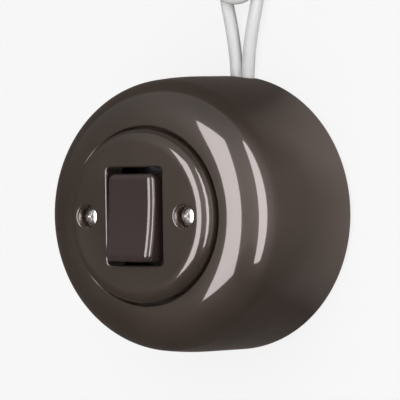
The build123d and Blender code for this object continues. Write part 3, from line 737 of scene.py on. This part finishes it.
# %% Housing
SPIN_STEPS = 288
NOTCH_WIDTH = 22.0 * MM
NOTCH_DEPTH = 7.5 * MM
NOTCH_CORNER = 2.8 * MM
NOTCH_LOW = 41.2 * MM
NOTCH_SOFT = 0.35 * MM
NEAR = 0.1 * MM
CUT_ANGLE = 1.0
CREASE_ANGLE = 0.7


def spun_shell():
    """The housing's section, turned once round the axis that is square to the wall."""
    bm = bmesh.new()
    corners = [bm.verts.new((p.x, -p.y, 0)) for p in section]
    for a, b in zip(corners, corners[1:] + corners[:1]):
        bm.edges.new((a, b))
    outline = bm.verts[:] + bm.edges[:]
    bmesh.ops.spin(
        bm, geom=outline, cent=(0, 0, 0), axis=(0, 1, 0), angle=math.tau, steps=SPIN_STEPS, use_merge=True
    )
    bmesh.ops.remove_doubles(bm, verts=bm.verts, dist=0.001 * MM)
    bmesh.ops.recalc_face_normals(bm, faces=bm.faces)
    return new_piece("housing_glazed", bm)


def notch_block():
    """The block that leaves the notch when it is cut away."""
    height = BODY_RADIUS + MM - NOTCH_LOW
    size = Matrix.Diagonal((NOTCH_WIDTH, 2 * NOTCH_DEPTH, height, 1))
    bm = bmesh.new()
    bmesh.ops.create_cube(bm, size=1, matrix=Matrix.Translation((0, 0, NOTCH_LOW + height / 2)) @ size)
    upright = [e for e in bm.edges if abs(e.verts[0].co.z - e.verts[1].co.z) > MM]
    bmesh.ops.bevel(
        bm, geom=upright, offset=NOTCH_CORNER, segments=6, profile=0.5, affect="EDGES", material=-1
    )
    return new_piece("notch_block", bm)


def cut_away(piece, block):
    """Cuts a block out of a piece and takes the block away."""
    cut = piece.modifiers.new("cut", "BOOLEAN")
    cut.object = block
    cut.solver = "EXACT"
    ready = piece.evaluated_get(bpy.context.evaluated_depsgraph_get())
    mesh = bpy.data.meshes.new_from_object(ready)
    piece.modifiers.clear()
    piece.data = mesh
    bpy.data.objects.remove(block)


def smooth_shading(bm, hard_edge):
    """Smooths every face, and keeps the edges hard that turn by more than this angle."""
    for face in bm.faces:
        face.smooth = True
    for edge in bm.edges:
        if len(edge.link_faces) == 2 and edge.calc_face_angle(0) > hard_edge:
            edge.smooth = False


def near_notch(vert):
    x, y, z = vert.co
    return abs(x) < NOTCH_WIDTH / 2 + NEAR and z > NOTCH_LOW and y > -NOTCH_DEPTH - NEAR


def soften_notch(piece):
    """Rounds the edges of the cut, smooths the faces and says how many edges were rounded."""
    bm = bmesh.new()
    bm.from_mesh(piece.data)
    bmesh.ops.remove_doubles(bm, verts=bm.verts, dist=0.002 * MM)
    cut_edges = [
        e for e in bm.edges
        if all(near_notch(v) for v in e.verts) and len(e.link_faces) == 2 and e.calc_face_angle(0) > CUT_ANGLE
    ]
    bmesh.ops.bevel(
        bm,
        geom=cut_edges,
        offset=NOTCH_SOFT,
        segments=3,
        profile=0.5,
        affect="EDGES",
        material=-1,
        clamp_overlap=True,
    )
    smooth_shading(bm, CREASE_ANGLE)
    bm.to_mesh(piece.data)
    bm.free()
    return len(cut_edges)


def even_normals(piece):
    """Lets the large faces set the shading, so that thin ones beside a cut don't darken it."""
    weighted = piece.modifiers.new("even normals", "WEIGHTED_NORMAL")
    weighted.keep_sharp = True
    weighted.weight = 100


housing = spun_shell()
cut_away(housing, notch_block())
print("softened edges at the notch", soften_notch(housing))
even_normals(housing)
housing.data.materials.clear()
housing.data.materials.append(materials["brown_glaze"])
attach(housing, "wall_side")
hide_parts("housing")
print("housing faces", len(housing.data.polygons))

# %% [markdown]
# The other solids come in as loose triangles. For a glossy finish the reflections have to flow from one
# triangle to the next, so each is shown by a merged copy: its doubles are joined, every face is smooth,
# and only edges that turn sharply stay hard. The insulator and its screw are left out of mirror images,
# as the cores are.

# %% Smooth copies of the solids
HARD_EDGE = math.radians(32)


def smooth_copy(node_name, slot):
    """A merged copy of one solid with flowing normals, which stands for that solid."""
    source = nodes[node_name]
    bm = bmesh.new()
    bm.from_mesh(source.data)
    bmesh.ops.remove_doubles(bm, verts=bm.verts, dist=0.0005 * MM)
    smooth_shading(bm, HARD_EDGE)
    piece = new_piece(f"{node_name}_finish", bm)
    piece.data.materials.append(materials[slot])
    even_normals(piece)
    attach(piece, source["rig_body"])
    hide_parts(node_name)
    return piece


slot_of = {entry["node"]: entry["material_slot"] for entry in frame["record"]["subparts"]}
finished = {}
for node_name, slot in slot_of.items():
    if slot == "braid" or node_name == "housing":
        continue
    finished[node_name] = smooth_copy(node_name, slot)
for node_name in ("wall_insulator", "insulator_screw"):
    finished[node_name].visible_glossy = False
print("finished pieces", len(finished))

# %% [markdown]
# Both cores are cords: limp wires that are held between their terminals and the insulator, which is their far
# end. Each core's tube follows its line, so the tube is as long as the wire itself.

for name, side in (("core_left", -1), ("core_right", 1)):
    line = core_lines[name]
    print(name, "declared")

# %% [markdown]
# The switch hangs on a wall, so the stage is a white wall that starts just behind it and curves out into a
# pale floor far below. To the eye it is white paper that keeps a trace of the shadow. In the photograph's
# glaze the wall shows as a soft warm patch to the right of the switch, strongest close to its rim, weak above
# and below it and rising again farther out. So glossy surfaces see a glowing patch there instead of the wall:
# a painted reflection, which gives the glaze its sheen on that side. Seen from behind, the wall is left
# clear, so that the back of the switch can be looked at.

# %% Stage
WALL_SIZE = 4.0
WALL_GAP = 0.3 * MM
FLOOR_DROP = 0.9
WALL_WHITE = 1.0
WALL_TONE = 0.60
GLOW_SHARE = 0.82
PATCH_COLOUR = (1.0, 0.84, 0.78, 1)
PATCH_AT_RIM = (50 * MM, 66 * MM, 0.85, 0.45)
PATCH_FAR_OUT = (80 * MM, 260 * MM, 0.0, 0.60)
PATCH_TURN = 0.15
PATCH_ASIDE = (0.25, 1.0, 1.0, 0.12)
BEND_RADIUS = 0.4


def stage_material():
    """A white that glows for the camera but keeps a shadow, and a glowing patch that only glossy rays see: a
    painted reflection.
    """
    material, tree, shader, coordinates = start_material("stage_white")
    tone = (WALL_TONE, WALL_TONE, WALL_TONE, 1)
    fill(tree, shader, {"Base Color": tone, "Roughness": 0.9, "Specular IOR Level": 0.0})
    ray = place(tree, "LightPath").outputs
    seen = math_node(tree, "ADD", ray["Is Camera Ray"], ray["Is Transmission Ray"], clamp=True)
    glow = place(tree, "Emission", {"Color": (WALL_WHITE, WALL_WHITE, WALL_WHITE, 1), "Strength": 1.0})
    share = math_node(tree, "MULTIPLY", seen, GLOW_SHARE)
    wall = place(tree, "MixShader", {0: share, 1: shader.outputs[0], 2: glow.outputs[0]})
    axes = place(tree, "SeparateXYZ", {0: coordinates}).outputs
    across = math_node(tree, "ADD", ramp(tree, axes[0], *PATCH_AT_RIM), ramp(tree, axes[0], *PATCH_FAR_OUT))
    turn = math_node(tree, "ARCTAN2", axes[2], axes[0])
    off_middle = math_node(tree, "ABSOLUTE", math_node(tree, "SUBTRACT", turn, PATCH_TURN))
    level = math_node(tree, "MULTIPLY", across, ramp(tree, off_middle, *PATCH_ASIDE))
    # The painted reflection: a warm glowing patch that glossy rays see in place of the wall.
    patch = place(tree, "Emission", {"Color": PATCH_COLOUR, "Strength": level})
    both = place(tree, "MixShader", {0: ray["Is Glossy Ray"], 1: wall.outputs[0], 2: patch.outputs[0]})
    clear = place(tree, "BsdfTransparent")
    back = place(tree, "NewGeometry").outputs["Backfacing"]
    mix = place(tree, "MixShader", {0: back, 1: both.outputs[0], 2: clear.outputs[0]})
    tree.links.new(mix.outputs[0], tree.nodes["Material Output"].inputs["Surface"])
    return material


def make_stage():
    """A wall just behind the switch and a floor, joined by a bend without a crease."""
    bm = bmesh.new()
    bmesh.ops.create_grid(bm, x_segments=1, y_segments=1, size=WALL_SIZE / 2)
    bmesh.ops.rotate(bm, verts=bm.verts, cent=(0, 0, 0), matrix=Matrix.Rotation(math.radians(90), 3, "X"))
    bmesh.ops.translate(bm, verts=bm.verts, vec=(0, WALL_GAP, WALL_SIZE / 2 - FLOOR_DROP))
    low = [e for e in bm.edges if all(v.co.z < -FLOOR_DROP + 0.01 for v in e.verts)]
    grown = bmesh.ops.extrude_edge_only(bm, edges=low)
    moved = [v for v in grown["geom"] if isinstance(v, bmesh.types.BMVert)]
    bmesh.ops.translate(bm, verts=moved, vec=(0, -WALL_SIZE / 2, 0))
    bmesh.ops.bevel(bm, geom=low, offset=BEND_RADIUS, segments=16, profile=0.5, affect="EDGES", material=-1)
    bmesh.ops.recalc_face_normals(bm, faces=bm.faces)
    wall_face = max(bm.faces, key=lambda f: f.calc_center_median().z)
    if wall_face.normal.y > 0:
        bmesh.ops.reverse_faces(bm, faces=bm.faces)
    for face in bm.faces:
        face.smooth = True
    stage = new_piece("stage", bm)
    stage.data.materials.append(stage_material())
    return stage


stage = make_stage()
print("stage faces", len(stage.data.polygons))

# %% [markdown]
# Two tall soft lamps make the two streaks that run down the glaze: a broad one nearly straight ahead of
# the switch, and a slender one far to its right, which is oval because its streak tapers to both ends.
# Glaze mirrors only about a twenty-fifth of what it faces, so a lamp at a level that suits the colours
# leaves no more than a grey streak. A photographer adds a bright card that only the gloss picks up. Here
# each lamp has such a twin just in front of it, slightly pink as the streaks are, which is left out of
# the diffuse light.

# %% Lamps
LAMPS = {
    "front": {
        "azimuth": 7.5,
        "elevation": -2,
        "width": 0.84,
        "height": 2.85,
        "shape": "RECTANGLE",
        "level": 2.35,
        "card": 5.9,
    },
    "right": {
        "azimuth": 77,
        "elevation": 3,
        "width": 0.47,
        "height": 3.0,
        "shape": "ELLIPSE",
        "level": 1.1,
        "card": 7.6,
    },
}
LAMP_DISTANCE = 1.30
CARD_DISTANCE = 1.28
CARD_COLOUR = (1.0, 0.88, 0.88)


def soft_lamp(name, place_of, distance, level):
    """A flat lamp whose surface is level times as bright as white paper in plain light."""
    width = place_of["width"]
    height = place_of["height"]
    filled = math.pi / 4 if place_of["shape"] == "ELLIPSE" else 1
    data = bpy.data.lights.new(name, "AREA")
    data.shape = place_of["shape"]
    data.size = width
    data.size_y = height
    data.energy = level * 4 * filled * width * height
    lamp = add_object(name, data)
    towards = direction(math.radians(place_of["azimuth"]), math.radians(place_of["elevation"]))
    lamp.matrix_world = Matrix.Translation(FACE_MIDDLE + distance * towards) @ turned_to(-towards).to_4x4()
    return lamp


for name, values in LAMPS.items():
    soft_lamp(f"{name}_lamp", values, LAMP_DISTANCE, values["level"])
    card = soft_lamp(f"{name}_card", values, CARD_DISTANCE, values["card"])
    card.visible_diffuse = False
    card.data.color = CARD_COLOUR
print("lamps", sorted(LAMPS))

# %% [markdown]
# The room beyond the lamps is dim and even, a little lighter above and to the right. The hazy layer of
# the glaze also picks up a broad warm sheen from the right front, where the photograph's side is
# lightest. It is only seen in the gloss, so the matt surfaces keep their plain light.

# %% World
AMBIENT = 0.26
SKY_RISE = 0.35
RIGHT_RISE = 0.16
SHEEN_FROM = direction(math.radians(60), math.radians(8))
SHEEN_LEVEL = 0.95
SHEEN_FALL = 3.0
SHEEN_COLOUR = (1.0, 0.87, 0.80, 1)


def make_world():
    """The light of the room, and the sheen that only glossy surfaces see."""
    world = bpy.data.worlds.new("studio")
    bpy.context.scene.world = world
    world.use_nodes = True
    tree = world.node_tree
    towards = place(tree, "TexCoord").outputs["Object"]
    axes = place(tree, "SeparateXYZ", {0: towards}).outputs
    above = math_node(tree, "MULTIPLY", math_node(tree, "MAXIMUM", axes[2]), SKY_RISE)
    aside = math_node(tree, "MULTIPLY", axes[0], RIGHT_RISE)
    level = math_node(tree, "ADD", math_node(tree, "ADD", above, aside), AMBIENT)
    room = place(tree, "Background", {"Color": (1, 1, 1, 1), "Strength": level})
    dot = place(tree, "VectorMath", {0: towards, 1: tuple(SHEEN_FROM)}, operation="DOT_PRODUCT")
    soft = math_node(tree, "POWER", math_node(tree, "MAXIMUM", dot.outputs["Value"]), SHEEN_FALL)
    glossy = math_node(tree, "MULTIPLY", soft, place(tree, "LightPath").outputs["Is Glossy Ray"])
    strength = math_node(tree, "MULTIPLY", glossy, SHEEN_LEVEL)
    sheen = place(tree, "Background", {"Color": SHEEN_COLOUR, "Strength": strength})
    both = place(tree, "AddShader", {0: room.outputs[0], 1: sheen.outputs[0]})
    tree.links.new(both.outputs[0], tree.nodes["World Output"].inputs["Surface"])


make_world()
bpy.context.scene.view_settings.view_transform = "Standard"
print("world", bpy.context.scene.world.name)
